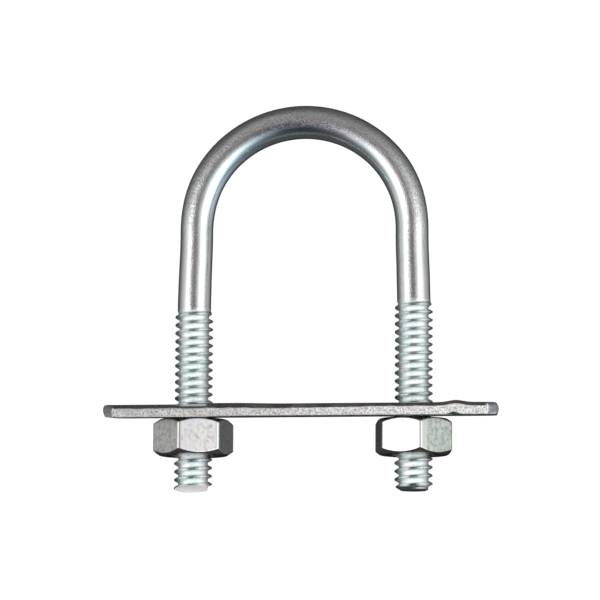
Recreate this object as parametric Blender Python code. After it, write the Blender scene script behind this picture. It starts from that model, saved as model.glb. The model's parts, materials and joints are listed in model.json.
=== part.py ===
"""U-bolt eye: a round rod bent into a U, with rolled threads on both legs, a flat
clamp plate that slides on the legs, and one hex nut on each leg below the plate.

The legs stand along +Z with their cut ends at z = 0. The two legs lie in the XZ
plane, either side of the Z axis, and the eye opens along Y.
"""

import math

import bmesh
import bpy
from mathutils import Vector

MM = 0.001

# Rod
ROD_RADIUS = 2.6 * MM
LEG_SPACING = 34.3 * MM
OVERALL_HEIGHT = 60.3 * MM
LEG_END_RADIUS = 2.25 * MM

# Right-hand rolled thread: 20 turns to the inch, with narrow crests and wide roots
THREAD_PITCH = 1.27 * MM
THREAD_CREST_RADIUS = 2.95 * MM
THREAD_ROOT_RADIUS = 2.29 * MM
THREAD_START = 0.6 * MM
THREAD_TURNS_LEFT = 21
THREAD_TURNS_RIGHT = 22
CREST_FLAT = THREAD_PITCH / 8
ROOT_FLAT = THREAD_PITCH / 4
RUN_OUT_TURNS = 0.7
RUN_OUT_HEIGHT = 0.2 * MM
LEAD_IN_TURNS = 1.0
THREAD_CLEARANCE = 0.12 * MM

# Hex nuts
NUT_ACROSS_FLATS = 11.0 * MM
NUT_THICKNESS = 5.6 * MM
NUT_FACE_RADIUS = 5.25 * MM
NUT_CHAMFER = math.radians(35)
NUT_MOUTH_RADIUS = 3.3 * MM
NUT_MOUTH_DEPTH = 0.15 * MM
NUT_BOTTOM = 5.5 * MM
NUT_TURN_LEFT = math.radians(16)
NUT_TURN_RIGHT = math.radians(-15.5)

# Clamp plate
PLATE_LENGTH = 60.4 * MM
PLATE_WIDTH = 15.9 * MM
PLATE_THICKNESS = 1.9 * MM
PLATE_CORNER_CUT = 1.65 * MM
PLATE_HOLE_RADIUS = 3.5 * MM
PLATE_EDGE_RADIUS = 0.15 * MM
PLATE_EDGE_SEGMENTS = 2
PLATE_EDGE_ANGLE = math.radians(60)
PLATE_GAP = 0.3 * MM

# Facets
THREAD_SIDES = 20
ARCH_STEPS = 32
NUT_SIDES = 24
HOLE_SIDES = 32
ROWS_PER_TURN = 4
SHARP_ANGLE = math.radians(25)

LEG_X = LEG_SPACING / 2
ARCH_CENTRE_Z = OVERALL_HEIGHT - ROD_RADIUS - LEG_X
FLANK = (THREAD_PITCH - CREST_FLAT - ROOT_FLAT) / 2
PLATE_BOTTOM = NUT_BOTTOM + NUT_THICKNESS + PLATE_GAP

# Zinc finishes: base colour and roughness
ROD_FINISH = ((0.56, 0.59, 0.60, 1.0), 0.28)
PLATE_FINISH = ((0.60, 0.61, 0.60, 1.0), 0.42)
NUT_FINISH = ((0.58, 0.59, 0.57, 1.0), 0.34)


def clear_scene():
    for obj in list(bpy.data.objects):
        bpy.data.objects.remove(obj, do_unlink=True)


def metal(name, finish):
    colour, roughness = finish
    material = bpy.data.materials.new(name)
    material.use_nodes = True
    shader = material.node_tree.nodes["Principled BSDF"]
    shader.inputs["Base Color"].default_value = colour
    shader.inputs["Metallic"].default_value = 1.0
    shader.inputs["Roughness"].default_value = roughness
    return material


def add_object(name, mesh, material, location=(0, 0, 0), turn=0.0):
    """A named object made from a finished bmesh, with round surfaces shaded smooth."""
    bmesh.ops.recalc_face_normals(mesh, faces=mesh.faces)
    data = bpy.data.meshes.new(name)
    mesh.to_mesh(data)
    mesh.free()
    data.materials.append(material)
    data.shade_smooth()
    data.set_sharp_from_angle(angle=SHARP_ANGLE)
    obj = bpy.data.objects.new(name, data)
    obj.location = location
    obj.rotation_euler = (0, 0, turn)
    bpy.context.scene.collection.objects.link(obj)
    return obj


def ring(mesh, centre, radius, sides, across=Vector((1, 0, 0)), along=Vector((0, 1, 0))):
    """Vertices of a circle in the plane of two unit vectors."""
    made = []
    for side in range(sides):
        angle = math.tau * side / sides
        offset = radius * (math.cos(angle) * across + math.sin(angle) * along)
        made.append(mesh.verts.new(centre + offset))
    return made


def bridge(mesh, lower, upper):
    """Quads between two rings that have the same number of vertices."""
    sides = len(lower)
    for side in range(sides):
        after = (side + 1) % sides
        mesh.faces.new((lower[side], lower[after], upper[after], upper[side]))


def row_heights(ridge_flat, base_flat):
    """Heights of a thread's four rows in one turn: the ridge's two edges lie between the base's."""
    flank = (THREAD_PITCH - ridge_flat - base_flat) / 2
    return (0, flank, flank + ridge_flat, 2 * flank + ridge_flat)


def thread_skin(mesh, start, turns, sides, heights, base_radius, ridge_radius, ends, fades):
    """A right-hand helical surface about the Z axis, and its lower and upper edges.

    Column 0 holds one turn of rows more than the others, because column 0 seen after
    a full turn is the next turn's column 0. ends are the radii that the surface fades
    from and to, and fades are the turns that this takes.
    """
    last_row = ROWS_PER_TURN * turns
    columns = []
    for side in range(sides):
        rows = last_row + 1 + (ROWS_PER_TURN if side == 0 else 0)
        column = []
        for row in range(rows):
            turn, step = divmod(row, ROWS_PER_TURN)
            travelled = turn + side / sides
            full = ridge_radius if step in (1, 2) else base_radius
            fade_in = min(travelled / fades[0], 1)
            fade_out = min(max((travelled - turns + fades[1]) / fades[1], 0), 1)
            radius = ends[0] + (full - ends[0]) * fade_in
            radius += (ends[1] - radius) * fade_out
            angle = math.tau * side / sides
            height = start + travelled * THREAD_PITCH + heights[step]
            point = (radius * math.cos(angle), radius * math.sin(angle), height)
            column.append(mesh.verts.new(point))
        columns.append(column)
    columns.append(columns[0][ROWS_PER_TURN:])
    for side in range(sides):
        near, far = columns[side], columns[side + 1]
        for row in range(last_row):
            mesh.faces.new((near[row], far[row], far[row + 1], near[row + 1]))
    lower = [column[0] for column in columns]
    upper = [column[last_row] for column in columns]
    lower_seam = columns[0][:ROWS_PER_TURN]
    upper_seam = columns[0][last_row + 1:last_row + ROWS_PER_TURN]
    return lower, upper, lower_seam, upper_seam


def close_thread(mesh, skin, below, above):
    """Joins a helical surface's stepped edges to a flat ring below it and one above it."""
    lower, upper, lower_seam, upper_seam = skin
    sides = len(below)
    for side in range(sides - 1):
        mesh.faces.new((below[side], below[side + 1], lower[side + 1], lower[side]))
    mesh.faces.new([below[-1], below[0], *lower_seam, lower[-1], lower[-2]])
    mesh.faces.new([upper[0], upper[1], above[1], above[0], upper[-1], *reversed(upper_seam)])
    for side in range(1, sides):
        after = (side + 1) % sides
        mesh.faces.new((upper[side], upper[side + 1], above[after], above[side]))


def threaded_leg(mesh, leg_x, turns):
    """One leg from its cut end to the start of the plain shank. Returns the shank's ring."""
    shank_start = THREAD_START + (turns + 1) * THREAD_PITCH + RUN_OUT_HEIGHT
    leg = bmesh.new()
    skin = thread_skin(
        leg,
        THREAD_START,
        turns,
        THREAD_SIDES,
        row_heights(CREST_FLAT, ROOT_FLAT),
        THREAD_ROOT_RADIUS,
        THREAD_CREST_RADIUS,
        (THREAD_ROOT_RADIUS, ROD_RADIUS),
        (LEAD_IN_TURNS, RUN_OUT_TURNS),
    )
    end = ring(leg, Vector((0, 0, 0)), LEG_END_RADIUS, THREAD_SIDES)
    shank = ring(leg, Vector((0, 0, shank_start)), ROD_RADIUS, THREAD_SIDES)
    close_thread(leg, skin, end, shank)
    leg.faces.new(list(reversed(end)))
    leg.verts.index_update()
    shank_indices = [vertex.index for vertex in shank]
    bmesh.ops.translate(leg, vec=(leg_x, 0, 0), verts=leg.verts)
    first = len(mesh.verts)
    data = bpy.data.meshes.new("leg")
    leg.to_mesh(data)
    leg.free()
    mesh.from_mesh(data)
    bpy.data.meshes.remove(data)
    mesh.verts.ensure_lookup_table()
    return [mesh.verts[first + index] for index in shank_indices]


def build_u_bolt(material):
    """Both threaded legs and the bent rod between them, as one closed surface."""
    mesh = bmesh.new()
    left = threaded_leg(mesh, -LEG_X, THREAD_TURNS_LEFT)
    right = threaded_leg(mesh, LEG_X, THREAD_TURNS_RIGHT)
    section = left
    for step in range(ARCH_STEPS + 1):
        bend = math.pi * step / ARCH_STEPS
        centre = Vector((-LEG_X * math.cos(bend), 0, ARCH_CENTRE_Z + LEG_X * math.sin(bend)))
        inward = Vector((math.cos(bend), 0, -math.sin(bend)))
        following = ring(mesh, centre, ROD_RADIUS, THREAD_SIDES, across=inward)
        bridge(mesh, section, following)
        section = following
    met = [right[(THREAD_SIDES // 2 - side) % THREAD_SIDES] for side in range(THREAD_SIDES)]
    bridge(mesh, section, met)
    return add_object("u_bolt", mesh, material)


def hex_radius(angle):
    """Distance from a hexagon's centre to its side, with a corner at angle 0."""
    within = angle % (math.pi / 3) - math.pi / 6
    return NUT_ACROSS_FLATS / 2 / math.cos(within)


def hex_edge(mesh, from_top):
    """The curved edge where a nut's conical chamfer meets its six sides."""
    made = []
    for side in range(NUT_SIDES):
        angle = math.tau * side / NUT_SIDES
        radius = hex_radius(angle)
        drop = (radius - NUT_FACE_RADIUS) * math.tan(NUT_CHAMFER)
        height = NUT_THICKNESS - drop if from_top else drop
        made.append(mesh.verts.new((radius * math.cos(angle), radius * math.sin(angle), height)))
    return made


def build_nut(name, leg_x, turn, material):
    """A double-chamfered hex nut in mesh with the thread of the leg at leg_x.

    The nut's thread is the leg's, moved outwards by the clearance. Its ridges fill
    the leg's roots, so its turns start where the leg's crests end.
    """
    mesh = bmesh.new()
    widened = 1 / math.cos(math.pi / THREAD_SIDES)
    base_radius = (THREAD_CREST_RADIUS + THREAD_CLEARANCE) * widened
    ridge_radius = (THREAD_ROOT_RADIUS + THREAD_CLEARANCE) * widened
    in_mesh = THREAD_START + FLANK + CREST_FLAT - NUT_BOTTOM
    in_mesh += THREAD_PITCH * turn / math.tau
    start = NUT_MOUTH_DEPTH + (in_mesh - NUT_MOUTH_DEPTH) % THREAD_PITCH
    turns = int((NUT_THICKNESS - NUT_MOUTH_DEPTH - start) / THREAD_PITCH) - 1
    skin = thread_skin(
        mesh,
        start,
        turns,
        NUT_SIDES,
        row_heights(ROOT_FLAT, CREST_FLAT),
        base_radius,
        ridge_radius,
        (base_radius, base_radius),
        (LEAD_IN_TURNS / 2, LEAD_IN_TURNS / 2),
    )
    low, high = Vector((0, 0, 0)), Vector((0, 0, NUT_THICKNESS))
    mouth_below = ring(mesh, low, NUT_MOUTH_RADIUS, NUT_SIDES)
    mouth_above = ring(mesh, high, NUT_MOUTH_RADIUS, NUT_SIDES)
    close_thread(mesh, skin, mouth_below, mouth_above)
    outline = [
        mouth_above,
        ring(mesh, high, NUT_FACE_RADIUS, NUT_SIDES),
        hex_edge(mesh, from_top=True),
        hex_edge(mesh, from_top=False),
        ring(mesh, low, NUT_FACE_RADIUS, NUT_SIDES),
        mouth_below,
    ]
    for near, far in zip(outline, outline[1:]):
        bridge(mesh, near, far)
    return add_object(name, mesh, material, (leg_x, 0, NUT_BOTTOM), turn)


def plate_outline():
    """Corners of the plate, counterclockwise, with each corner cut at 45 degrees."""
    x, y, cut = PLATE_LENGTH / 2, PLATE_WIDTH / 2, PLATE_CORNER_CUT
    return [
        (x - cut, -y),
        (x, cut - y),
        (x, y - cut),
        (x - cut, y),
        (cut - x, y),
        (-x, y - cut),
        (-x, cut - y),
        (cut - x, -y),
    ]


def hole_cutter(leg_x):
    """A helper cylinder that cuts one leg's hole through the plate."""
    mesh = bmesh.new()
    bmesh.ops.create_cone(
        mesh,
        cap_ends=True,
        segments=HOLE_SIDES,
        radius1=PLATE_HOLE_RADIUS,
        radius2=PLATE_HOLE_RADIUS,
        depth=3 * PLATE_THICKNESS,
    )
    data = bpy.data.meshes.new("hole_cutter")
    mesh.to_mesh(data)
    mesh.free()
    cutter = bpy.data.objects.new("hole_cutter", data)
    cutter.location = (leg_x, 0, PLATE_BOTTOM + PLATE_THICKNESS / 2)
    cutter.hide_render = True
    cutter.display_type = "WIRE"
    bpy.context.scene.collection.objects.link(cutter)
    return cutter


def build_plate(material):
    """The clamp plate. Its origin is on the Z axis, along which it slides."""
    mesh = bmesh.new()
    face = mesh.faces.new([mesh.verts.new((x, y, 0)) for x, y in plate_outline()])
    raised = bmesh.ops.extrude_face_region(mesh, geom=[face])["geom"]
    top = [item for item in raised if isinstance(item, bmesh.types.BMVert)]
    bmesh.ops.translate(mesh, vec=(0, 0, PLATE_THICKNESS), verts=top)
    plate = add_object("clamp_plate", mesh, material, (0, 0, PLATE_BOTTOM))
    for leg_x in (-LEG_X, LEG_X):
        hole = plate.modifiers.new("leg_hole", "BOOLEAN")
        hole.operation = "DIFFERENCE"
        hole.object = hole_cutter(leg_x)
    edge = plate.modifiers.new("sheared_edge", "BEVEL")
    edge.width = PLATE_EDGE_RADIUS
    edge.segments = PLATE_EDGE_SEGMENTS
    edge.limit_method = "ANGLE"
    edge.angle_limit = PLATE_EDGE_ANGLE
    return plate


def main():
    clear_scene()
    build_u_bolt(metal("zinc_rod", ROD_FINISH))
    build_plate(metal("zinc_plate", PLATE_FINISH))
    build_nut("hex_nut_left", -LEG_X, NUT_TURN_LEFT, metal("zinc_nut_left", NUT_FINISH))
    build_nut("hex_nut_right", LEG_X, NUT_TURN_RIGHT, metal("zinc_nut_right", NUT_FINISH))


main()
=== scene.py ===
"""Looks of a zinc-plated U-bolt eye: a bent rod with rolled threads, a sheared clamp
plate and two hex nuts, each standing for its CAD node and riding on its body."""

import json
import math
from collections import namedtuple

import bmesh
import bpy
from mathutils import Matrix, Vector, noise


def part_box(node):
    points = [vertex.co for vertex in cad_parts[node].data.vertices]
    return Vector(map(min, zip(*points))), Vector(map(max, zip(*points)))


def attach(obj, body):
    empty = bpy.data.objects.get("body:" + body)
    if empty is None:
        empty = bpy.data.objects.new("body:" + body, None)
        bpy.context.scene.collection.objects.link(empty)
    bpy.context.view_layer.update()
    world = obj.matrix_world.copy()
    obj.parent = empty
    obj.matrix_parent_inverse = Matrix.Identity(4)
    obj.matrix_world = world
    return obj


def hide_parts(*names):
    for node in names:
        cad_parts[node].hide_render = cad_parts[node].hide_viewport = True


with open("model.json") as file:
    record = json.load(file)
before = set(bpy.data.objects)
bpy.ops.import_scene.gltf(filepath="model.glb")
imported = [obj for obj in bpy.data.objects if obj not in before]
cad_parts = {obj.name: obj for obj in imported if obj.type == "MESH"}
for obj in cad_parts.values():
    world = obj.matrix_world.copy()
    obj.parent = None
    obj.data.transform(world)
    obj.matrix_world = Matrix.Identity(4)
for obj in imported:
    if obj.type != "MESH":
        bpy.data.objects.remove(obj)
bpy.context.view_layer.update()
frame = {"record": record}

MM = 0.001

LegEnd = namedtuple("LegEnd", "radius slope bevel cut_slope seed")
Nick = namedtuple("Nick", "x width height")
Panel = namedtuple("Panel", "azimuth elevation sharpness strength tint")

# Rod and thread, as in the CAD model
ROD_RADIUS = 2.6 * MM
CREST_RADIUS = 2.95 * MM
ROOT_RADIUS = 2.29 * MM
THREAD_START = 0.6 * MM
THREAD_TURNS = 21
RIGHT_LEG_EXTRA_TURNS = 1

# Finer shape of the rod and its thread
CREST_FLAT_TURNS = 0.18
ROOT_FLAT_TURNS = 0.25
CREST_CROWN = 0.03
RUN_OUT_START = 27.0 * MM
RUN_OUT_LENGTH = 1.3 * MM
ROD_SIDES = 64
ROWS_PER_TURN = 16
SHANK_STEPS = 8
ARCH_STEPS = 96
SHANK_PINCH = 0.3 * MM
PINCH_REACH = 7.0 * MM

# Cut ends of the left (-1) and the right (1) leg. cut_slope is how much the cut face rises
# towards +X and +Y, and slope how fast the rounded end widens.
LEG_ENDS = {
    -1: LegEnd(radius=2.75 * MM, slope=0.8, bevel=0.0, cut_slope=(0.06, -0.14), seed=3.0),
    1: LegEnd(radius=2.42 * MM, slope=0.6, bevel=0.45 * MM, cut_slope=(0.0, 0.0), seed=8.0),
}
END_BEVEL_HEIGHT = 0.45 * MM
END_RIM_WIDTH = 0.12 * MM
END_RIM_DEPTH = 0.03 * MM

# Rubbed and dull zinc on the threads, with painted shade on the crests in front of the legs and at
# their sides, and a dark ring of painted shade at the right leg's cut end
# The side of a leg, about its axis, where the painted shade on the crests is centred in front
PAINTED_SHADE_FRONT = math.radians(-84)
TORN_END_HEIGHT = 1.3 * MM
# Height of the dark ring of painted shade at the right leg's cut end
PAINTED_SHADE_END_HEIGHT = 0.65 * MM
DULLEST = 1.2

# Nuts
NUT_ACROSS_FLATS = 11.0 * MM
NUT_CORNER_RADIUS = 0.45 * MM
NUT_FACE_RADIUS = 5.25 * MM
NUT_CHAMFER = math.radians(35)
NUT_SOFT_EDGE = 0.06 * MM
NUT_MOUTH_RADIUS = 3.3 * MM
NUT_MOUTH_SLOPE = 0.9
NUT_THREAD_GAP = 0.12 * MM
NUT_SKIN_START = 0.12 * MM
NUT_COLUMN_DEGREES = (0, 1, 2, 3.1, 4, 5.2, 8, 12, 17, 23, 30)
HEX_SECTOR = math.pi / 3
NUT_TURNS = {"hex_nut_left": math.radians(16), "hex_nut_right": math.radians(-15.5)}
# How much painted shade each of a nut's six flats gets, as a darker olive tint
NUT_FLAT_PAINTED_SHADE = {
    "hex_nut_left": (0.4, 0.3, 0.5, 0.45, 0.1, 0.8),
    "hex_nut_right": (0.5, 0.2, 0.4, 0.6, 0.0, 1.0),
}

# Plate
PLATE_CORNER_CUT = 1.65 * MM
PLATE_HOLE_RADIUS = 3.5 * MM
PLATE_POINT_SPACING = 0.45 * MM
HOLE_SIDES = 72
PLATE_TILT = math.radians(4.2)
PLATE_CANT = math.radians(-0.25)
PLATE_YAW = math.radians(0.8)
PLATE_LIFT = 0.18 * MM
PLATE_SHIFT = -0.22 * MM
TORN_SHARE = 0.73
END_ROUNDING = 0.3 * MM
END_SKEW = 0.5 * MM
CUT_STEP = 0.12 * MM
DROOP_X = -14.2 * MM
DROOP_LENGTH = 0.5 * MM
NICK_ABOVE = Nick(x=24.3 * MM, width=1.5 * MM, height=0.34 * MM)
NICK_BELOW = Nick(x=24.0 * MM, width=0.75 * MM, height=0.42 * MM)

# Tints of the rod
COOL_ZINC = (0.68, 0.72, 0.725, 1.0)
WARM_ZINC = (0.73, 0.73, 0.715, 1.0)
WORN_WARM = (0.50, 0.46, 0.47, 1.0)
WORN_COOL = (0.46, 0.49, 0.54, 1.0)
BLUE_SPECK = (0.20, 0.21, 0.36, 1.0)
BROWN_SPECK = (0.40, 0.36, 0.39, 1.0)
DRAW_MARK = (0.45, 0.46, 0.48, 1.0)
DIE_LINE = (0.49, 0.43, 0.43, 1.0)
INNER_BLUE = (0.70, 0.88, 0.99, 1.0)
THREAD_COOL = (0.68, 0.78, 0.77, 1.0)
THREAD_WARM = (0.84, 0.84, 0.85, 1.0)
# Crest tint: a little wear all round, and painted shade in front of the legs, at their sides and at
# the right leg's cut end
CREST_WEAR_AND_PAINTED_SHADE = (0.44, 0.50, 0.50, 1.0)
TORN_STEEL = (1.0, 0.99, 0.99, 1.0)

# Tints of the plate
SHEET_COOL = (0.68, 0.72, 0.71, 1.0)
SHEET_WARM = (0.74, 0.73, 0.73, 1.0)
TORN_PALE = (0.66, 0.68, 0.66, 1.0)
TORN_GREY = (0.54, 0.52, 0.52, 1.0)
TORN_PIT = (0.20, 0.19, 0.19, 1.0)
TORN_GAIN_LEFT = (0.92, 0.92, 0.92, 1.0)
TORN_GAIN_RIGHT = (1.3, 1.3, 1.3, 1.0)
BAND_DARK = (0.10, 0.085, 0.085, 1.0)
BAND_LIGHT = (0.20, 0.18, 0.18, 1.0)
CORNER_LIGHT = (0.40, 0.43, 0.46, 1.0)
CORNER_DARK = (0.27, 0.29, 0.31, 1.0)

# Tints of the nuts
FLAT_VIOLET = (0.95, 0.90, 0.97, 1.0)
FLAT_YELLOW = (1.0, 0.97, 0.93, 1.0)
FLAT_STAIN = (0.52, 0.51, 0.56, 1.0)
# Darker olive tints that paint shade onto some of the flats
PAINTED_SHADE_OLIVE = (0.70, 0.71, 0.62, 1.0)
PAINTED_SHADE_GREEN = (0.56, 0.62, 0.59, 1.0)
PAINTED_SHADE_SPECK = (0.33, 0.38, 0.37, 1.0)
BRIGHT_CORNER = (0.72, 0.72, 0.72, 1.0)
CHAMFER_BROWN = (0.50, 0.46, 0.43, 1.0)
CHAMFER_DARK = (0.34, 0.31, 0.30, 1.0)

# Surroundings that the metal mirrors: light panels in a dim room, and shades over them.
# Azimuth 0 is the viewer's side and 90 is +X. A shade's strength is how much it takes away.
ROOM_LEVEL = 0.105
LIGHTS = (
    Panel(-39, -5, 13, 2.2, (1.0, 1.0, 1.0)),
    Panel(55, -11, 9, 2.1, (0.99, 1.0, 1.0)),
    Panel(31, -31, 22, 0.8, (0.87, 1.0, 1.1)),
    Panel(112, -8, 8, 0.47, (0.98, 1.0, 1.02)),
    Panel(-79, 2, 8, 0.5, (0.99, 1.0, 0.98)),
    Panel(47, 25, 4, 0.42, (1.0, 1.0, 0.97)),
    Panel(-30, 49, 21, 0.3, (1.0, 1.0, 0.98)),
)
SHADES = (
    Panel(-5, -53, 20, 0.7, (0.86, 1.0, 1.08)),
    Panel(-2, -12, 34, 0.55, (1.1, 0.98, 1.04)),
    Panel(178, 0, 4.5, 0.98, (1.0, 1.0, 1.0)),
    Panel(0, -90, 6, 0.4, (1.0, 1.0, 1.0)),
)

# Soft light on dull surfaces, and the white behind the object
FRONT_LIGHT = 5.6
FRONT_DARK = 0.03
ABOVE_LIGHT = 0.5
BELOW_LIGHT = 1.8
BACKDROP = 1.05
FLOOR_SIZE = 2.0
FLOOR_DROP = 0.1 * MM
FLOOR_PALE = 0.9
FLOOR_GLOW = 0.55

# Camera, with the lens for a sensor 36 mm wide
CAMERA_PLACE = Vector((64.5, -600.0, -42.6)) * MM
CAMERA_TARGET = Vector((-0.6, 0.0, 29.75)) * MM
CAMERA_ROLL = math.radians(0.3)
CAMERA_LENS = 234.54
CAMERA_NEAR = 0.01
CAMERA_FAR = 20.0

# Worked out from the frame and the values above
JOINTS = {joint["name"]: joint for joint in frame["record"]["behaviour"]["joints"]}
COUPLING = frame["record"]["behaviour"]["couplings"][0]
PITCH = math.tau / COUPLING["ratio"]
LEG_X = JOINTS["nut_right_spin"]["pos_m"][0]
TOP_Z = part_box("u_bolt")[1][2]
ARCH_CENTRE_Z = TOP_Z - ROD_RADIUS - LEG_X
THREAD_END = THREAD_START + (THREAD_TURNS + 1) * PITCH
LEG_RIM_Z = THREAD_END + 2 * PITCH + 0.1 * MM
FLANK_TURNS = (1 - CREST_FLAT_TURNS - ROOT_FLAT_TURNS) / 2
CREST_PHASE = THREAD_START / PITCH + FLANK_TURNS + CREST_FLAT_TURNS / 2


# ---------------------------------------------------------------- helpers

def smooth(value):
    """0 up to 0, 1 from 1 on, and an even S between them."""
    value = min(max(value, 0.0), 1.0)
    return value * value * (3 - 2 * value)


def ease(value, start, end):
    """0 up to start and 1 from end on. With end below start it goes the other way."""
    return smooth((value - start) / (end - start))


def bell(value, middle, width):
    """1 at the middle, falling off to both sides."""
    return math.exp(-((value - middle) / width) ** 2)


def ripple(point, size, amount, seed=0.0):
    """Smooth seeded noise at a point, for surfaces that no tool leaves perfectly true."""
    return amount * noise.noise(Vector(point) / size + Vector((seed, 1.7 * seed, 0.3)))


def bridge(mesh, near, far):
    for side in range(len(near)):
        after = (side + 1) % len(near)
        mesh.faces.new((near[side], near[after], far[after], far[side]))


def new_piece(name, mesh, material, sharp_angle=None):
    bmesh.ops.recalc_face_normals(mesh, faces=mesh.faces)
    data = bpy.data.meshes.new(name)
    mesh.to_mesh(data)
    mesh.free()
    data.materials.append(material)
    data.shade_smooth()
    if sharp_angle is not None:
        data.set_sharp_from_angle(angle=sharp_angle)
    piece = bpy.data.objects.new(name, data)
    bpy.context.scene.collection.objects.link(piece)
    return piece


def mark(piece, name, vectors):
    """Stores three numbers at every vertex, for the material to read."""
    layer = piece.data.attributes.new(name, "FLOAT_VECTOR", "POINT")
    layer.data.foreach_set("vector", [value for vector in vectors for value in vector])


# ---------------------------------------------------------------- threads

def thread_radius(turns_from_crest):
    """Radius of the thread, with the rounded corners of a rolled thread."""
    away = abs((turns_from_crest + 0.5) % 1 - 0.5)
    rise = (0.5 - ROOT_FLAT_TURNS / 2 - away) / FLANK_TURNS
    rise = min(max(rise, 0.0), 1.0)
    flank = 0.6 * rise + 0.4 * smooth(rise)
    crown = max(1 - (away / (CREST_FLAT_TURNS / 2)) ** 2, 0.0)
    height = (1 - CREST_CROWN) * flank + CREST_CROWN * crown
    return ROOT_RADIUS + (CREST_RADIUS - ROOT_RADIUS) * height


def helical_skin(mesh, angles, start, turns, radius_at):
    """Right-hand helical rows of vertices about the Z axis.

    One more column repeats the first column a turn further up, so that the surface
    closes on itself. radius_at(angle, z) gives each vertex its radius.
    """
    last_row = ROWS_PER_TURN * turns
    columns = []
    for number, angle in enumerate(angles):
        rows = last_row + 1 + (ROWS_PER_TURN if number == 0 else 0)
        column = []
        for row in range(rows):
            z = start + PITCH * (row / ROWS_PER_TURN + angle / math.tau)
            radius = radius_at(angle, z)
            column.append(mesh.verts.new((radius * math.cos(angle), radius * math.sin(angle), z)))
        columns.append(column)
    columns.append(columns[0][ROWS_PER_TURN:])
    for near, far in zip(columns, columns[1:]):
        for row in range(last_row):
            mesh.faces.new((near[row], far[row], far[row + 1], near[row + 1]))
    return columns, last_row


def join_above(mesh, columns, last_row, ring):
    """Closes the stepped upper edge of a helical skin to a flat ring of vertices."""
    upper = [column[last_row] for column in columns]
    seam = columns[0][last_row + 1:last_row + ROWS_PER_TURN]
    mesh.faces.new([upper[0], upper[1], ring[1], ring[0], upper[-1], *reversed(seam)])
    for side in range(1, len(ring)):
        after = (side + 1) % len(ring)
        mesh.faces.new((upper[side], upper[side + 1], ring[after], ring[side]))


def join_below(mesh, columns, ring):
    """Closes the stepped lower edge of a helical skin to a flat ring of vertices."""
    lower = [column[0] for column in columns]
    seam = columns[0][:ROWS_PER_TURN]
    for side in range(len(ring) - 1):
        mesh.faces.new((ring[side], ring[side + 1], lower[side + 1], lower[side]))
    mesh.faces.new([ring[-1], ring[0], *seam, lower[-1], lower[-2]])


# ---------------------------------------------------------------- bent rod

def rod_ring(mesh, centre, across, uneven):
    """A ring of vertices about the rod, starting on the side that across points to."""
    made = []
    for side in range(ROD_SIDES):
        angle = math.tau * side / ROD_SIDES
        around = math.cos(angle) * across + math.sin(angle) * Vector((0, 1, 0))
        radius = ROD_RADIUS
        if uneven:
            point = (centre + ROD_RADIUS * around) / MM
            radius += ripple(point, 2.6, 0.014 * MM) + ripple(point, 7.0, 0.02 * MM, 5.0)
        made.append(mesh.verts.new(centre + radius * around))
    return made


def run_out_start(side):
    """Height at which the thread of the left (-1) or right (1) leg starts to fade into the shank."""
    return RUN_OUT_START + (RIGHT_LEG_EXTRA_TURNS * PITCH if side > 0 else 0)


def leg_radius(side, end):
    """The radius of a leg's surface by angle and height, from its cut end to its shank."""
    run_out = run_out_start(side)

    def radius_at(angle, z):
        worn = ripple((math.cos(angle), math.sin(angle), z / MM * 0.6), 0.8, 0.025 * MM, end.seed)
        threaded = thread_radius(z / PITCH - angle / math.tau - CREST_PHASE) + worn
        fade = ease(z, run_out, run_out + RUN_OUT_LENGTH)
        bevelled = end.bevel * max(1 - z / END_BEVEL_HEIGHT, 0)
        rounded = end.radius + max(z, 0) * end.slope - bevelled
        return min(threaded + (ROD_RADIUS - threaded) * fade, rounded)

    return radius_at


def cut_end(mesh, cut_slope):
    """Cuts a leg off below, and leaves a narrow rim around the cut face."""
    geometry = mesh.verts[:] + mesh.edges[:] + mesh.faces[:]
    normal = Vector((-cut_slope[0], -cut_slope[1], 1)).normalized()
    height = ROOT_RADIUS * math.hypot(*cut_slope)
    cut = bmesh.ops.bisect_plane(
        mesh, geom=geometry, plane_co=(0, 0, height), plane_no=normal, clear_inner=True
    )["geom_cut"]
    edges = [item for item in cut if isinstance(item, bmesh.types.BMEdge)]
    face = bmesh.ops.edgeloop_fill(mesh, edges=edges)["faces"]
    bmesh.ops.inset_region(mesh, faces=face, thickness=END_RIM_WIDTH, depth=-END_RIM_DEPTH)


def build_leg(side):
    """One threaded leg from its cut end to the shank. Its upper edge stays open."""
    end = LEG_ENDS[side]
    mesh = bmesh.new()
    angles = [math.tau * column / ROD_SIDES for column in range(ROD_SIDES)]
    start = THREAD_START - 2 * PITCH
    columns, last_row = helical_skin(mesh, angles, start, THREAD_TURNS + 4, leg_radius(side, end))
    ring = rod_ring(mesh, Vector((0, 0, LEG_RIM_Z)), Vector((1, 0, 0)), uneven=False)
    join_above(mesh, columns, last_row, ring)
    cut_end(mesh, end.cut_slope)
    bmesh.ops.translate(mesh, vec=(side * LEG_X, 0, 0), verts=mesh.verts)
    return mesh


def add_leg(mesh, side):
    """Adds a leg to the rod's mesh, and returns its open upper rim in order of angle."""
    leg = build_leg(side)
    data = bpy.data.meshes.new("leg")
    leg.to_mesh(data)
    leg.free()
    first = len(mesh.verts)
    mesh.from_mesh(data)
    bpy.data.meshes.remove(data)
    mesh.verts.ensure_lookup_table()
    rim = [vertex for vertex in mesh.verts[first:] if vertex.co.z > LEG_RIM_Z - 0.001 * MM]

    def place(vertex):
        angle = math.atan2(vertex.co.y, vertex.co.x - side * LEG_X)
        return round(angle * ROD_SIDES / math.tau) % ROD_SIDES

    return sorted(rim, key=place)


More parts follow.
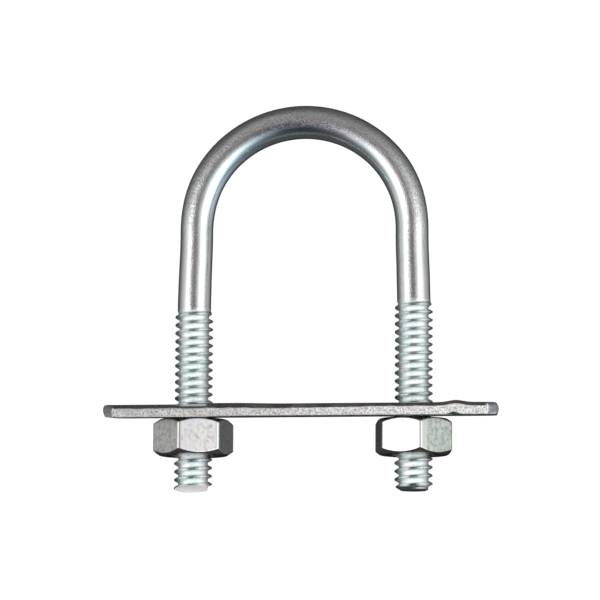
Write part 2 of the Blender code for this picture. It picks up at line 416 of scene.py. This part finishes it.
def bend_path():
    """Centres of the rod's rings from the left leg's rim to the right one's, each with the
    direction that points to the inner side of the bend."""
    rise = ARCH_CENTRE_Z - LEG_RIM_Z
    straight = [LEG_RIM_Z + rise * step / SHANK_STEPS for step in range(1, SHANK_STEPS)]
    path = [(Vector((-LEG_X, 0, z)), Vector((1, 0, 0))) for z in straight]
    for step in range(ARCH_STEPS + 1):
        bend = math.pi * step / ARCH_STEPS
        centre = Vector((-LEG_X * math.cos(bend), 0, ARCH_CENTRE_Z + LEG_X * math.sin(bend)))
        path.append((centre, Vector((math.cos(bend), 0, -math.sin(bend)))))
    path += [(Vector((LEG_X, 0, z)), Vector((-1, 0, 0))) for z in reversed(straight)]
    return path


def straightened(piece):
    """Gives the rod's vertices their place before it was bent, so that draw marks follow it."""
    points = []
    for vertex in piece.data.vertices:
        x, y, z = vertex.co
        if z <= ARCH_CENTRE_Z:
            side = -1 if x < 0 else 1
            points.append((abs(x) - LEG_X, y, side * (ARCH_CENTRE_Z - z + LEG_X * math.pi / 2)))
            continue
        bend = math.atan2(x, z - ARCH_CENTRE_Z)
        out = math.hypot(x, z - ARCH_CENTRE_Z) - LEG_X
        points.append((out, y, bend * LEG_X))
    mark(piece, "rod_space", points)


def thread_marks(piece):
    """Marks the crests, the threaded length, the left leg's torn end and the dull zinc.

    The crests are rubbed a little all round. In front of a leg and at both its sides they are darkened
    further as painted shade, and there the zinc is less dull.
    """
    marks = []
    dullness = []
    for vertex in piece.data.vertices:
        x, y, z = vertex.co
        side = -1 if x < 0 else 1
        angle = math.atan2(y, x - side * LEG_X)
        run_out = run_out_start(side)
        threaded = ease(z, run_out + 1.7 * MM, run_out + 0.3 * MM)
        wave = math.cos(math.tau * (z / PITCH - angle / math.tau - CREST_PHASE))
        crest = ease(wave, 0.0, 0.6)
        front = ease(math.cos(angle - PAINTED_SHADE_FRONT), 0.925, 0.995)
        painted_shade_sides = ease(abs(math.sin(angle - PAINTED_SHADE_FRONT)), 0.6, 0.9)
        # Painted shade: crests darker in front and at both sides of a leg, on top of a little wear all
        # round
        rubbed = max(crest * (0.33 + 0.67 * max(front, painted_shade_sides)), 0.5 * painted_shade_sides)
        # Painted shade: a dark ring around the right leg's cut end
        if side > 0:
            rubbed = max(rubbed, ease(z, PAINTED_SHADE_END_HEIGHT, PAINTED_SHADE_END_HEIGHT - 0.2 * MM))
        torn = 0.0
        if side < 0 and z < TORN_END_HEIGHT:
            torn = ease(-vertex.normal.z, 0.75, 0.9)
        marks.append((threaded * rubbed * (1 - torn), threaded, torn))
        dullness.append(max(threaded * (1 - rubbed), DULLEST * torn))
    mark(piece, "thread", marks)
    layer = piece.data.attributes.new("dull_zinc", "FLOAT", "POINT")
    layer.data.foreach_set("value", dullness)


def pinch(piece):
    """The bend sprang in a little, so that the shanks come closer above the threads."""
    for vertex in piece.data.vertices:
        near = bell(vertex.co.z, ARCH_CENTRE_Z, PINCH_REACH)
        near *= ease(vertex.co.z, THREAD_END, THREAD_END + 3 * MM)
        vertex.co.x *= 1 - SHANK_PINCH / LEG_X * near


def build_rod(material):
    """Both legs and the bend between them, as one surface."""
    mesh = bmesh.new()
    section = add_leg(mesh, -1)
    right = add_leg(mesh, 1)
    for centre, inwards in bend_path():
        following = rod_ring(mesh, centre, inwards, uneven=True)
        bridge(mesh, section, following)
        section = following
    met = [right[(ROD_SIDES // 2 - side) % ROD_SIDES] for side in range(ROD_SIDES)]
    bridge(mesh, section, met)
    rod = new_piece("bent_rod", mesh, material, math.radians(50))
    straightened(rod)
    thread_marks(rod)
    pinch(rod)
    return rod


# ---------------------------------------------------------------- nuts

def nut_angles():
    """Column angles, close together at the six corners and wide apart on the flats."""
    mirrored = [60 - angle for angle in reversed(NUT_COLUMN_DEGREES[1:-1])]
    sector = [*NUT_COLUMN_DEGREES, *mirrored]
    return [math.radians(60 * corner + angle) for corner in range(6) for angle in sector]


def from_nearest_corner(angle):
    return (angle + HEX_SECTOR / 2) % HEX_SECTOR - HEX_SECTOR / 2


def hex_radius(angle):
    """Distance from the nut's centre to its side, with a rounded corner at angle 0."""
    inner = (NUT_ACROSS_FLATS / 2 - NUT_CORNER_RADIUS) / math.cos(HEX_SECTOR / 2)
    away = abs(from_nearest_corner(angle))
    tangent = (NUT_CORNER_RADIUS / 2, inner + NUT_CORNER_RADIUS * math.cos(HEX_SECTOR / 2))
    if away < math.atan2(*tangent):
        chord = math.sqrt(NUT_CORNER_RADIUS ** 2 - (inner * math.sin(away)) ** 2)
        return inner * math.cos(away) + chord
    return NUT_ACROSS_FLATS / 2 / math.cos(HEX_SECTOR / 2 - away)


def nut_profile(angle, thickness):
    """Radius and height down the outside of a nut at one angle, from its upper to its lower face."""
    side = hex_radius(angle)
    slope = math.tan(NUT_CHAMFER)
    drop = (side - NUT_FACE_RADIUS) * slope
    soft = NUT_SOFT_EDGE
    half = [
        (NUT_MOUTH_RADIUS + 0.10 * MM, 0.0),
        (NUT_FACE_RADIUS - 0.5 * MM, 0.0),
        (NUT_FACE_RADIUS - soft, 0.004 * MM),
        (NUT_FACE_RADIUS + soft, soft * slope + 0.006 * MM),
        (side - 2.6 * soft, drop - 2.6 * soft * slope),
        (side - 0.7 * soft, drop - 0.55 * soft * slope),
        (side, drop + soft),
        (side, drop + 3.2 * soft),
    ]
    return [(radius, thickness - depth) for radius, depth in half] + half[::-1]


def nut_marks(nut, node, thickness):
    """Marks the six flats, how much painted shade each gets, and the bright corners between them,
    which are kept out of the painted shade.
    """
    # Painted shade for each flat
    dullness = NUT_FLAT_PAINTED_SHADE[node]
    marks = []
    for vertex in nut.data.vertices:
        x, y, z = vertex.co
        angle = math.atan2(y, x) % math.tau
        side = hex_radius(angle)
        drop = (side - NUT_FACE_RADIUS) * math.tan(NUT_CHAMFER)
        flat = ease(side - math.hypot(x, y), 0.05 * MM, 0.0)
        flat *= ease(min(z, thickness - z) - drop, -0.02 * MM, 0.03 * MM)
        from_corner = from_nearest_corner(angle)
        number = int(angle / HEX_SECTOR) % 6
        neighbour = (number + (-1 if from_corner > 0 else 1)) % 6
        reach = math.radians(3.2 + 4.5 * ease(dullness[number], 0.9, 1.0))
        corner = ease(abs(from_corner), reach + math.radians(1.5), reach)
        bright = corner * ease(dullness[number] + dullness[neighbour], 1.4, 1.0)
        marks.append((flat, flat * dullness[number] * (1 - bright), flat * bright))
    mark(nut, "flats", marks)


def nut_ring(mesh, angles, places):
    """A ring of vertices about a nut's axis, from a radius and a height for each angle."""
    made = []
    for angle, (radius, z) in zip(angles, places):
        made.append(mesh.verts.new((radius * math.cos(angle), radius * math.sin(angle), z)))
    return made


def build_nut(name, node, material):
    """A double-chamfered nut with a real thread, in mesh with its leg's thread."""
    lowest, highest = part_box(node)
    thickness = highest[2] - lowest[2]
    side = -1 if lowest[0] < 0 else 1
    turn = NUT_TURNS[node]
    mesh = bmesh.new()
    angles = nut_angles()

    def radius_at(angle, z):
        phase = (z + lowest[2]) / PITCH - (angle + turn) / math.tau - CREST_PHASE
        ridge = thread_radius(phase) + NUT_THREAD_GAP
        widest = CREST_RADIUS + NUT_THREAD_GAP
        inside = min(z, thickness - z)
        fade = ease(inside / PITCH, 0.15, 0.65)
        return max(widest + (ridge - widest) * fade, NUT_MOUTH_RADIUS - inside * NUT_MOUTH_SLOPE)

    first_crest = (CREST_PHASE + turn / math.tau) * PITCH - lowest[2]
    start = NUT_SKIN_START + (first_crest - NUT_SKIN_START) % PITCH
    turns = int((thickness - NUT_SKIN_START - start) / PITCH) - 1
    columns, last_row = helical_skin(mesh, angles, start, turns, radius_at)
    lower_mouth = nut_ring(mesh, angles, [(NUT_MOUTH_RADIUS, 0.0)] * len(angles))
    upper_mouth = nut_ring(mesh, angles, [(NUT_MOUTH_RADIUS, thickness)] * len(angles))
    join_below(mesh, columns, lower_mouth)
    join_above(mesh, columns, last_row, upper_mouth)
    previous = upper_mouth
    for places in zip(*[nut_profile(angle, thickness) for angle in angles]):
        ring = nut_ring(mesh, angles, places)
        bridge(mesh, previous, ring)
        previous = ring
    bridge(mesh, previous, lower_mouth)
    nut = new_piece(name, mesh, material, math.radians(62))
    nut_marks(nut, node, thickness)
    nut.location = (side * LEG_X, 0, lowest[2])
    nut.rotation_euler = (0, 0, turn)
    return nut


# ---------------------------------------------------------------- plate

def plate_corners(half_length, half_width, inset):
    """Corners of the plate's outline moved inwards, so that all its sides keep their direction."""
    x, y = half_length - inset, half_width - inset
    cut = PLATE_CORNER_CUT - inset * (2 - math.sqrt(2))
    return [
        (x - cut, -y), (x, cut - y), (x, y - cut), (x - cut, y),
        (cut - x, y), (-x, y - cut), (-x, cut - y), (cut - x, -y),
    ]


def along_sides(corners, reference):
    """Points along every side, closer beside the corners. reference fixes how many there are."""
    points = []
    for number, start in enumerate(corners):
        after = (number + 1) % len(corners)
        end = corners[after]
        length = math.dist(reference[number], reference[after])
        count = max(round(length / PLATE_POINT_SPACING), 2)
        inner = [step / count for step in range(1, count)]
        near = 0.15 * MM / length
        for part in [near, 2.5 * near, *inner, 1 - 2.5 * near, 1 - near]:
            x = start[0] + (end[0] - start[0]) * part
            y = start[1] + (end[1] - start[1]) * part
            points.append((x, y))
    return points


def sheared_profile(thickness):
    """How far in and how high a sheared edge lies: rolled-over top, smooth band, torn band, burr."""
    rolled = [(2.3, 1.9), (1.0, 1.9), (0.45, 1.898), (0.2, 1.88), (0.08, 1.83), (0.02, 1.74)]
    smooth_band = [(0.0, height) for height in (1.62, 1.48, 1.38, 1.32, 1.26)]
    smooth_band += [(0.005, 1.2), (0.01, 1.14)]
    torn = [(0.02, 1.06 - 0.14 * step) for step in range(7)] + [(0.01, 0.12)]
    burr = [(0.0, 0.05), (0.03, 0.008), (0.12, 0.0), (0.45, 0.0), (1.0, 0.0), (2.3, 0.0)]
    scale = thickness / (1.9 * MM)
    levels = [*rolled, *smooth_band, *torn, *burr]
    return [(inset * MM, height * MM * scale) for inset, height in levels]


def torn_depth(x, y, z, thickness):
    """Roughness of the torn part of a sheared edge, in metres inwards."""
    torn = ease(z / thickness, 0.70, 0.65) * ease(z / thickness, 0.03, 0.08)
    point = (x / MM, y / MM, z / MM * 0.7)
    coarse = ripple(point, 0.55, 0.055 * MM, 2.0)
    fine = ripple(point, 0.22, 0.03 * MM, 9.0)
    return torn * (coarse + fine + 0.02 * MM)


def end_bulge(x, z, half_length, thickness):
    """How far the plate's short ends are rounded over above and below their middle."""
    at_end = ease(abs(x) - half_length, -2.4 * MM, -1.2 * MM)
    return END_ROUNDING * at_end * abs(2 * z / thickness - 1) ** 2.5


def end_skew(x, y, half_length, half_width):
    """How far the right-hand end stands out, because it was sheared off a little out of square."""
    at_end = ease(x - half_length, -3.0 * MM, -1.8 * MM)
    beside_cut = ease(x, 27.9 * MM, 28.5 * MM) * ease(x, 30.1 * MM, 28.7 * MM)
    return (END_SKEW * at_end + CUT_STEP * beside_cut) * (half_width - y) / (2 * half_width)


def edge_kink(x, y, z, thickness):
    """Rise of the near edge: a nick beside the right-hand nut, and a droop of its left part."""
    level = z / thickness
    near_edge = ease(-y, 6.2 * MM, 7.7 * MM)
    drooping = ease(x, DROOP_X + DROOP_LENGTH, DROOP_X)
    droop = (0.1 + 0.2 * level) * MM * drooping
    droop -= 0.14 * MM * level * (1 - drooping) * ease(x, -2 * MM, -10 * MM)
    above = NICK_ABOVE.height * bell(x, NICK_ABOVE.x, NICK_ABOVE.width) * smooth(level * 1.4)
    below = NICK_BELOW.height * bell(x, NICK_BELOW.x, NICK_BELOW.width) * (1 - smooth(level * 1.6))
    return near_edge * (above + below - droop)


def shear_mark(point, half_length, half_width, thickness):
    """How much of a point is on the edge's smooth band, on its torn band and on a cut corner."""
    x = abs(point.x - end_skew(point.x, point.y, half_length, half_width))
    y = abs(point.y)
    corner = x + y - (half_length + half_width - PLATE_CORNER_CUT)
    inset = min(half_length - x - 0.3 * MM, half_width - y, -corner / math.sqrt(2))
    inset = min(math.hypot(x - LEG_X, y) - PLATE_HOLE_RADIUS, inset)
    on_edge = ease(inset, 0.16 * MM, 0.06 * MM)
    on_cut = on_edge * ease(corner, -0.22 * MM, -0.12 * MM)
    level = (point.z - edge_kink(point.x, point.y, point.z, thickness)) / thickness
    lower = 0.05 + 0.09 * ease(point.x, 14 * MM, -2 * MM)
    torn_top = TORN_SHARE - lower * ease(point.x, DROOP_X, DROOP_X + DROOP_LENGTH)
    torn_top += ripple(point / MM, 1.3, 0.03, 4.0)
    above = ease(level, torn_top, torn_top + 0.05)
    band = on_edge * above * ease(level, 1.015, 0.985)
    torn = on_edge * (1 - above) * ease(level, 0.02, 0.08)
    return band * (1 - on_cut), torn * (1 - on_cut), on_cut


def outer_ring(mesh, inset, height, half_length, half_width, thickness):
    """One level of the plate's outer edge."""
    reference = plate_corners(half_length, half_width, 0)
    corners = plate_corners(half_length, half_width, inset)
    made = []
    for x, y in along_sides(corners, reference):
        inward = torn_depth(x, y, height, thickness)
        place = Vector((x * (1 - inward / half_length), y * (1 - inward / half_width), height))
        place.x -= math.copysign(end_bulge(x, height, half_length, thickness), x)
        place.x += end_skew(x, y, half_length, half_width)
        place.z += edge_kink(x, y, height, thickness)
        made.append(mesh.verts.new(place))
    return made


def hole_ring(mesh, leg_x, inset, height, thickness):
    """One level of the edge of a leg's hole."""
    made = []
    for side in range(HOLE_SIDES):
        angle = math.tau * side / HOLE_SIDES
        x, y = math.cos(angle), math.sin(angle)
        rough = torn_depth(leg_x + x * PLATE_HOLE_RADIUS, y * PLATE_HOLE_RADIUS, height, thickness)
        radius = PLATE_HOLE_RADIUS + inset + rough
        made.append(mesh.verts.new((leg_x + radius * x, radius * y, height)))
    return made


def build_plate(material):
    """The clamp plate, with sheared edges outside and in its two punched holes."""
    lowest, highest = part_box("clamp_plate")
    thickness = highest[2] - lowest[2]
    size = (highest[0], highest[1], thickness)
    profile = sheared_profile(thickness)
    mesh = bmesh.new()
    walls = [[outer_ring(mesh, inset, height, *size) for inset, height in profile]]
    for leg_x in (-LEG_X, LEG_X):
        walls.append([hole_ring(mesh, leg_x, *level, thickness) for level in profile[1:-1]])
    for wall in walls:
        for near, far in zip(wall, wall[1:]):
            bridge(mesh, near, far)
    for end in (0, -1):
        rim = []
        for wall in walls:
            ring = wall[end]
            rim += [mesh.edges.get(pair) for pair in zip(ring, ring[1:] + ring[:1])]
        bmesh.ops.triangle_fill(mesh, edges=rim, use_beauty=True)
    plate = new_piece("pressed_plate", mesh, material, math.radians(70))
    mark(plate, "shear", [shear_mark(vertex.co, *size) for vertex in plate.data.vertices])
    plate.location = (PLATE_SHIFT, 0, lowest[2] + PLATE_LIFT)
    plate.rotation_euler = (PLATE_TILT, PLATE_CANT, PLATE_YAW)
    return plate


# ---------------------------------------------------------------- materials

class Nodes:
    """A short way to add shader nodes and join them."""

    def __init__(self, owner):
        owner.use_nodes = True
        self.tree = owner.node_tree
        self.tree.nodes.clear()

    def put(self, socket, value):
        """Links a socket to another one, or sets a plain value on it."""
        if isinstance(value, bpy.types.NodeSocket):
            self.tree.links.new(value, socket)
        else:
            socket.default_value = value

    def add(self, kind, settings=None, **inputs):
        """Adds a node. An input is named with _ for a space, or by its number: i0, i1 and so on."""
        node = self.tree.nodes.new("ShaderNode" + kind)
        for key, value in (settings or {}).items():
            setattr(node, key, value)
        for key, value in inputs.items():
            name = int(key[1:]) if key[1:].isdigit() else key.replace("_", " ")
            self.put(node.inputs[name], value)
        return node

    def noise(self, space, scale, detail=3.0, roughness=0.55):
        made = self.add("TexNoise", Vector=space, Scale=scale, Detail=detail, Roughness=roughness)
        return made.outputs["Fac"]

    def stretch(self, space, scale):
        return self.add("Mapping", Vector=space, Scale=scale).outputs["Vector"]

    def range(self, value, low, high, to_low=0.0, to_high=1.0):
        made = self.add("MapRange", Value=value, From_Min=low, From_Max=high)
        made.inputs["To Min"].default_value = to_low
        made.inputs["To Max"].default_value = to_high
        return made.outputs["Result"]

    def mix(self, factor, first, second, blend="MIX"):
        node = self.add("Mix", {"data_type": "RGBA", "blend_type": blend})
        for index, value in ((0, factor), (6, first), (7, second)):
            self.put(node.inputs[index], value)
        return node.outputs[2]

    def maths(self, operation, first, second=0.0):
        return self.add("Math", {"operation": operation}, i0=first, i1=second).outputs[0]

    def times(self, first, *others):
        for other in others:
            first = self.maths("MULTIPLY", first, other)
        return first

    def distance(self, value, middle):
        """How far a value is from a fixed one, to either side."""
        return self.maths("ABSOLUTE", self.maths("SUBTRACT", value, middle))

    def bump(self, height, strength, distance, normal=None):
        made = self.add("Bump", Height=height, Strength=strength, Distance=distance)
        if normal is not None:
            self.tree.links.new(normal, made.inputs["Normal"])
        return made.outputs["Normal"]

    def marks(self, name):
        """What mark() stored under a name."""
        return self.add("Attribute", {"attribute_name": name}).outputs["Vector"]

    def parts(self, vector):
        """The three parts of a vector."""
        made = self.add("SeparateXYZ", Vector=vector)
        return [made.outputs[axis] for axis in "XYZ"]


def finish_metal(nodes, colour, roughness, normal, metallic=1.0):
    shader = nodes.add("BsdfPrincipled", Base_Color=colour, Roughness=roughness, Normal=normal)
    nodes.put(shader.inputs["Metallic"], metallic)
    nodes.add("OutputMaterial", Surface=shader.outputs["BSDF"])


def shank_tint(nodes, outward, length, along, rubbed, clouds, speckle, streaks):
    """Tint of the rod outside its threads: specks, draw marks, a die line and a blue inner side."""
    tint = nodes.mix(nodes.range(clouds, 0.38, 0.62), COOL_ZINC, WARM_ZINC)
    worn = nodes.mix(nodes.range(clouds, 0.40, 0.60), WORN_WARM, WORN_COOL)
    specks = nodes.times(nodes.range(speckle, 0.46, 0.60, 0.0, 0.75), rubbed)
    tint = nodes.mix(specks, tint, worn)

    near_top = nodes.range(along, 4 * MM, 13 * MM, 1.0, 0.0)
    beside_line = nodes.range(nodes.distance(outward, -0.5 * MM), 0.4 * MM, 1.2 * MM, 1.0, 0.0)
    blue = nodes.times(near_top, beside_line, nodes.range(speckle, 0.46, 0.56, 0.0, 0.85))
    tint = nodes.mix(blue, tint, BLUE_SPECK)

    in_front = nodes.range(nodes.maths("ABSOLUTE", outward), 0.3 * MM, 0.9 * MM, 1.0, 0.0)
    on_shank = nodes.range(along, 20 * MM, 29 * MM)
    brown = nodes.times(in_front, on_shank, nodes.range(speckle, 0.47, 0.60, 0.0, 0.9))
    tint = nodes.mix(brown, tint, BROWN_SPECK)

    bent = nodes.range(along, 24 * MM, 36 * MM, 1.0, 0.4)
    drawn = nodes.times(nodes.range(streaks, 0.54, 0.66, 0.0, 0.55), bent)
    tint = nodes.mix(drawn, tint, DRAW_MARK)
    on_line = nodes.range(nodes.distance(outward, 0.15 * MM), 0.1 * MM, 0.5 * MM, 1.0, 0.0)
    lined = nodes.times(on_line, bent, nodes.range(streaks, 0.42, 0.56, 0.15, 0.9))
    tint = nodes.mix(lined, tint, DIE_LINE)

    inner = nodes.range(outward, -0.9 * MM, -1.7 * MM)
    left_half = nodes.range(length, 0.0, -10 * MM, 0.3, 1.0)
    on_bend = nodes.range(along, 18 * MM, 26 * MM, 1.0, 0.0)
    return nodes.mix(nodes.times(inner, left_half, on_bend), tint, INNER_BLUE)


def rod_material():
    """Bright zinc on a drawn rod: draw marks along it, rubbed patches, pale dull threads, and darker
    crests that are partly wear and partly painted shade.
    """
    material = bpy.data.materials.new("zinc_rod")
    nodes = Nodes(material)
    space = nodes.marks("rod_space")
    outward, _, length = nodes.parts(space)
    crest, threaded, torn = nodes.parts(nodes.marks("thread"))
    along = nodes.maths("ABSOLUTE", length)
    outer = nodes.range(outward, -0.7 * MM, 0.3 * MM)
    rubbed = nodes.times(nodes.range(along, 22 * MM, 31 * MM, 1.0, 0.0), outer)

    streaks = nodes.noise(nodes.stretch(space, (1.0, 1.0, 0.1)), 4200.0)
    clouds = nodes.noise(nodes.stretch(space, (1.0, 1.0, 0.45)), 620.0)
    speckle = nodes.noise(nodes.stretch(space, (1.0, 1.0, 0.6)), 4600.0, roughness=0.6)
    grain = nodes.noise(nodes.add("TexCoord").outputs["Object"], 7000.0, detail=2.0)

    tint = shank_tint(nodes, outward, length, along, rubbed, clouds, speckle, streaks)
    root = nodes.mix(nodes.range(clouds, 0.38, 0.62), THREAD_COOL, THREAD_WARM)
    tint = nodes.mix(threaded, tint, root)
    # Crests: a little wear all round, and painted shade in front of and beside the legs and at the
    # right leg's cut end
    tint = nodes.mix(crest, tint, CREST_WEAR_AND_PAINTED_SHADE)
    tint = nodes.mix(torn, tint, TORN_STEEL)

    roughness = nodes.range(clouds, 0.3, 0.7, 0.11, 0.19)
    roughness = nodes.maths("ADD", roughness, nodes.times(threaded, 0.14))
    dull = nodes.add("Attribute", {"attribute_name": "dull_zinc"}).outputs["Fac"]
    metallic = nodes.range(dull, 0.0, DULLEST, 1.0, 0.0)
    peel = nodes.times(speckle, nodes.range(rubbed, 0.0, 1.0, 0.12, 1.0))
    normal = nodes.bump(peel, 1.0, 0.06 * MM)
    normal = nodes.bump(streaks, 0.4, 0.012 * MM, normal)
    normal = nodes.bump(grain, 0.35, 0.008 * MM, normal)
    finish_metal(nodes, tint, roughness, normal, metallic)
    return material


def plate_material():
    """Bright zinc on sheet steel: sheared edges with a dark smooth band and pale torn metal."""
    material = bpy.data.materials.new("zinc_plate")
    nodes = Nodes(material)
    band, torn, cut = nodes.parts(nodes.marks("shear"))
    plain = nodes.add("TexCoord").outputs["Object"]
    rolled = nodes.noise(nodes.stretch(plain, (0.12, 1.0, 1.0)), 2400.0)
    mottle = nodes.noise(plain, 3400.0, roughness=0.7)
    clouds = nodes.noise(plain, 420.0)
    patches = nodes.noise(plain, 900.0)

    colour = nodes.mix(nodes.range(clouds, 0.38, 0.62), SHEET_COOL, SHEET_WARM)
    pale = nodes.mix(nodes.range(patches, 0.36, 0.62), TORN_PALE, TORN_GREY)
    pale = nodes.mix(nodes.range(mottle, 0.46, 0.62, 0.0, 0.95), pale, TORN_PIT)
    to_right = nodes.range(nodes.parts(plain)[0], -22 * MM, 22 * MM)
    gain = nodes.mix(to_right, TORN_GAIN_LEFT, TORN_GAIN_RIGHT)
    colour = nodes.mix(torn, colour, nodes.mix(1.0, pale, gain, "MULTIPLY"))
    dark = nodes.mix(nodes.range(clouds, 0.35, 0.65), BAND_DARK, BAND_LIGHT)
    colour = nodes.mix(band, colour, dark)
    corner = nodes.mix(nodes.range(mottle, 0.38, 0.64), CORNER_LIGHT, CORNER_DARK)
    colour = nodes.mix(cut, colour, corner)

    roughness = nodes.range(mottle, 0.35, 0.65, 0.22, 0.34)
    roughness = nodes.maths("ADD", roughness, nodes.times(torn, 0.2))
    metallic = nodes.maths("SUBTRACT", 1.0, nodes.times(torn, 0.6))
    normal = nodes.bump(rolled, 0.25, 0.01 * MM)
    normal = nodes.bump(mottle, 0.6, 0.03 * MM, normal)
    finish_metal(nodes, colour, roughness, normal, metallic)
    return material


def nut_material(name, seed, streak):
    """Bright zinc on a formed nut: mottled flats, some of them darkened to an olive tint as painted
    shade, and brown chamfers.
    The smaller streak is, the longer are the upright marks on the flats."""
    material = bpy.data.materials.new(name)
    nodes = Nodes(material)
    flat, dull, corner = nodes.parts(nodes.marks("flats"))
    place = nodes.add("TexCoord").outputs["Object"]
    plain = nodes.add("Mapping", Vector=place, Location=(seed, 0, 0)).outputs["Vector"]
    upright = nodes.noise(nodes.stretch(plain, (1.0, 1.0, streak)), 2300.0)
    mottle = nodes.noise(plain, 1500.0, 4.0, 0.7)
    patches = nodes.noise(plain, 420.0, roughness=0.6)

    bright = nodes.mix(nodes.range(patches, 0.36, 0.62), FLAT_VIOLET, FLAT_YELLOW)
    stained = nodes.times(nodes.range(mottle, 0.48, 0.62, 0.0, 0.85), nodes.range(patches, 0.40, 0.56))
    bright = nodes.mix(stained, bright, FLAT_STAIN)
    # Painted shade: an olive tint that darkens some flats, each by its own amount
    dim = nodes.mix(nodes.range(upright, 0.40, 0.60), PAINTED_SHADE_OLIVE, PAINTED_SHADE_GREEN)
    dim = nodes.mix(nodes.range(mottle, 0.42, 0.62, 0.0, 0.8), dim, PAINTED_SHADE_SPECK)
    colour = nodes.mix(dull, bright, dim)
    colour = nodes.mix(corner, colour, BRIGHT_CORNER)
    brown = nodes.mix(nodes.range(mottle, 0.38, 0.62), CHAMFER_BROWN, CHAMFER_DARK)
    colour = nodes.mix(flat, brown, colour)

    roughness = nodes.range(mottle, 0.3, 0.7, 0.18, 0.30)
    normal = nodes.bump(upright, 0.35, 0.02 * MM)
    normal = nodes.bump(mottle, 0.35, 0.025 * MM, normal)
    finish_metal(nodes, colour, roughness, normal)
    return material


# ---------------------------------------------------------------- studio

def grey(level):
    return (level, level, level, 1.0)


def direction(azimuth, elevation):
    """A unit vector, with azimuth 0 towards the viewer's side (-Y) and 90 towards +X."""
    a, e = math.radians(azimuth), math.radians(elevation)
    return Vector((math.sin(a) * math.cos(e), -math.cos(a) * math.cos(e), math.sin(e)))


def lobe(nodes, way, azimuth, elevation, sharpness):
    """1 in one direction, falling off softly around it."""
    middle = direction(azimuth, elevation)
    facing = nodes.add("VectorMath", {"operation": "DOT_PRODUCT"}, i0=way, i1=middle).outputs["Value"]
    fall = nodes.add("Math", {"operation": "MULTIPLY_ADD"}, i0=facing, i1=sharpness, i2=-sharpness)
    return nodes.maths("EXPONENT", fall.outputs[0])


def mirrored_room(nodes, way):
    """What the metal mirrors: a dim room with soft light panels, and shades over them."""
    total = grey(ROOM_LEVEL)
    for light in LIGHTS:
        shape = lobe(nodes, way, light.azimuth, light.elevation, light.sharpness)
        colour = [light.strength * part for part in light.tint] + [1]
        total = nodes.mix(1.0, total, nodes.mix(shape, grey(0), colour), "ADD")
    for shade in SHADES:
        shape = lobe(nodes, way, shade.azimuth, shade.elevation, shade.sharpness)
        colour = [(1 - shade.strength) * part for part in shade.tint] + [1]
        total = nodes.mix(1.0, total, nodes.mix(shape, grey(1), colour), "MULTIPLY")
    return total


def soft_light(nodes, way):
    """What lights the dull surfaces: soft light from the front, from above and from below."""
    front = nodes.mix(lobe(nodes, way, 5, 5, 8.0), grey(FRONT_DARK), grey(FRONT_LIGHT))
    above = nodes.mix(lobe(nodes, way, 0, 90, 3.0), grey(0), grey(ABOVE_LIGHT))
    below = nodes.mix(lobe(nodes, way, 0, -90, 5.0), grey(0), grey(BELOW_LIGHT))
    return nodes.mix(1.0, nodes.mix(1.0, front, above, "ADD"), below, "ADD")


def build_world():
    """Soft studio surroundings: panels for the metal to mirror, and soft light for the rest."""
    world = bpy.data.worlds.new("studio")
    bpy.context.scene.world = world
    nodes = Nodes(world)
    way = nodes.add("TexCoord").outputs["Generated"]
    path = nodes.add("LightPath")
    mirrored = nodes.add("Background", Color=mirrored_room(nodes, way), Strength=1.0).outputs[0]
    white = nodes.mix(path.outputs["Is Camera Ray"], soft_light(nodes, way), grey(BACKDROP))
    even = nodes.add("Background", Color=white, Strength=1.0).outputs[0]
    choice = nodes.add("MixShader", Fac=path.outputs["Is Glossy Ray"], i1=even, i2=mirrored)
    nodes.add("OutputWorld", Surface=choice.outputs[0])
    world.cycles.sampling_method = "NONE"


def build_floor():
    """A plain pale floor under the cut ends of the legs. From below it can be seen through."""
    mesh = bmesh.new()
    bmesh.ops.create_grid(mesh, x_segments=1, y_segments=1, size=FLOOR_SIZE)
    material = bpy.data.materials.new("pale_floor")
    nodes = Nodes(material)
    behind = nodes.add("NewGeometry").outputs["Backfacing"]
    pale = nodes.add("BsdfDiffuse", Color=grey(FLOOR_PALE))
    glow = nodes.add("Emission", Color=grey(1.0), Strength=FLOOR_GLOW)
    lit = nodes.add("AddShader", i0=pale.outputs[0], i1=glow.outputs[0])
    clear = nodes.add("BsdfTransparent")
    both = nodes.add("MixShader", Fac=behind, i1=lit.outputs[0], i2=clear.outputs[0])
    nodes.add("OutputMaterial", Surface=both.outputs[0])
    floor = new_piece("floor", mesh, material)
    floor.location = (0, 0, -FLOOR_DROP)
    floor.visible_glossy = False
    floor.visible_diffuse = False


def build_camera():
    data = bpy.data.cameras.new("camera")
    camera = bpy.data.objects.new("camera", data)
    bpy.context.scene.collection.objects.link(camera)
    camera.location = CAMERA_PLACE
    facing = (CAMERA_TARGET - CAMERA_PLACE).to_track_quat("-Z", "Y").to_matrix().to_4x4()
    camera.rotation_euler = (facing @ Matrix.Rotation(CAMERA_ROLL, 4, "Z")).to_euler()
    data.lens = CAMERA_LENS
    data.clip_start = CAMERA_NEAR
    data.clip_end = CAMERA_FAR
    bpy.context.scene.camera = camera
    bpy.context.scene.view_settings.view_transform = "Standard"


# ---------------------------------------------------------------- assembly

def main():
    build_camera()
    build_world()
    build_floor()
    rod = build_rod(rod_material())
    plate = build_plate(plate_material())
    left_nut = build_nut("left_nut", "hex_nut_left", nut_material("zinc_nut_left", 0.0, 0.08))
    right_nut = build_nut("right_nut", "hex_nut_right", nut_material("zinc_nut_right", 0.37, 0.35))
    pieces = (
        (rod, "u_bolt", "u_bolt", "zinc_rod"),
        (plate, "plate", "clamp_plate", "zinc_plate"),
        (left_nut, "nut_left", "hex_nut_left", "zinc_nut"),
        (right_nut, "nut_right", "hex_nut_right", "zinc_nut"),
    )
    for piece, body, node, slot in pieces:
        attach(piece, body)
        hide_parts(node)
    bpy.context.view_layer.update()


main()
